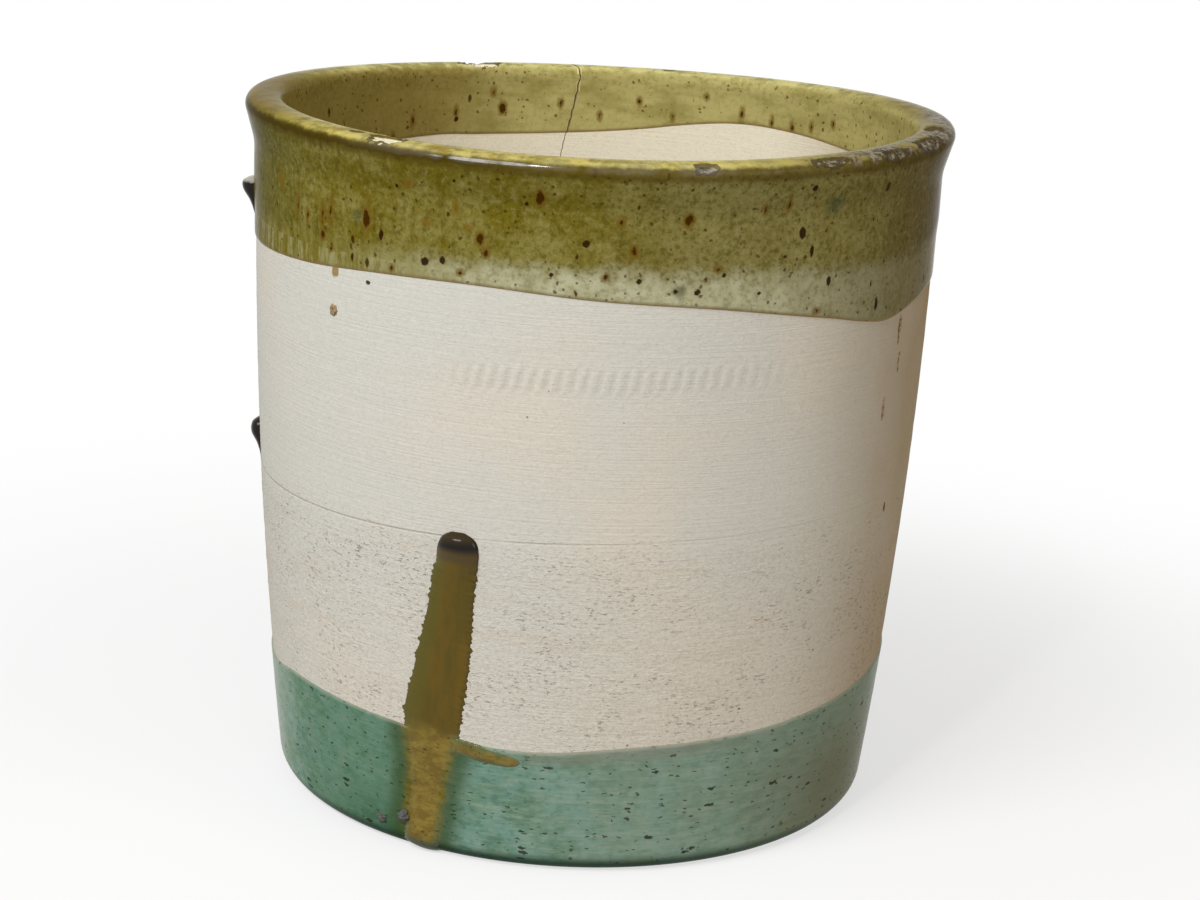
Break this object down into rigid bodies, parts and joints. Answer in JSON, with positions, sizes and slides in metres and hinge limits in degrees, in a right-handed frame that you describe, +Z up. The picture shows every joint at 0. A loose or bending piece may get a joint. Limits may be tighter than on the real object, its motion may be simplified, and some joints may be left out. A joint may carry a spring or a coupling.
{
  "type": "flower pot",
  "caption": "Round, slightly tapered ceramic flower pot with a rolled lip, bare clay wall, olive glazed rim, green glazed foot and brown glaze drips.",
  "frame": {"origin": "centre of the base, on the plane that the foot ring stands on", "axes": "+Z up along the pot's axis, -Y towards the front with the drip, +X to the right seen from the front"},
  "size_m": [0.2403, 0.24, 0.2349],
  "materials": {
    "bare_clay": "bare fired clay, matt and slightly gritty",
    "olive_glaze": "thin glossy pale olive glaze with iron specks",
    "olive_glaze_double": "glossy olive glaze with iron specks",
    "green_glaze": "satin green glaze with dark pits",
    "amber_glaze": "thick glassy amber-brown glaze",
    "kiln_grit": "rough grey grit"
  },
  "bodies": {
    "root": {"clay_body": "bare_clay", "rim_glaze_first_coat": "olive_glaze", "rim_glaze_second_coat": "olive_glaze_double", "foot_glaze": "green_glaze", "front_drip": "amber_glaze", "left_high_drip": "amber_glaze", "left_low_drip": "amber_glaze", "wall_glaze_spots": "amber_glaze", "kiln_grit": "kiln_grit"}
  },
  "joints": []
}
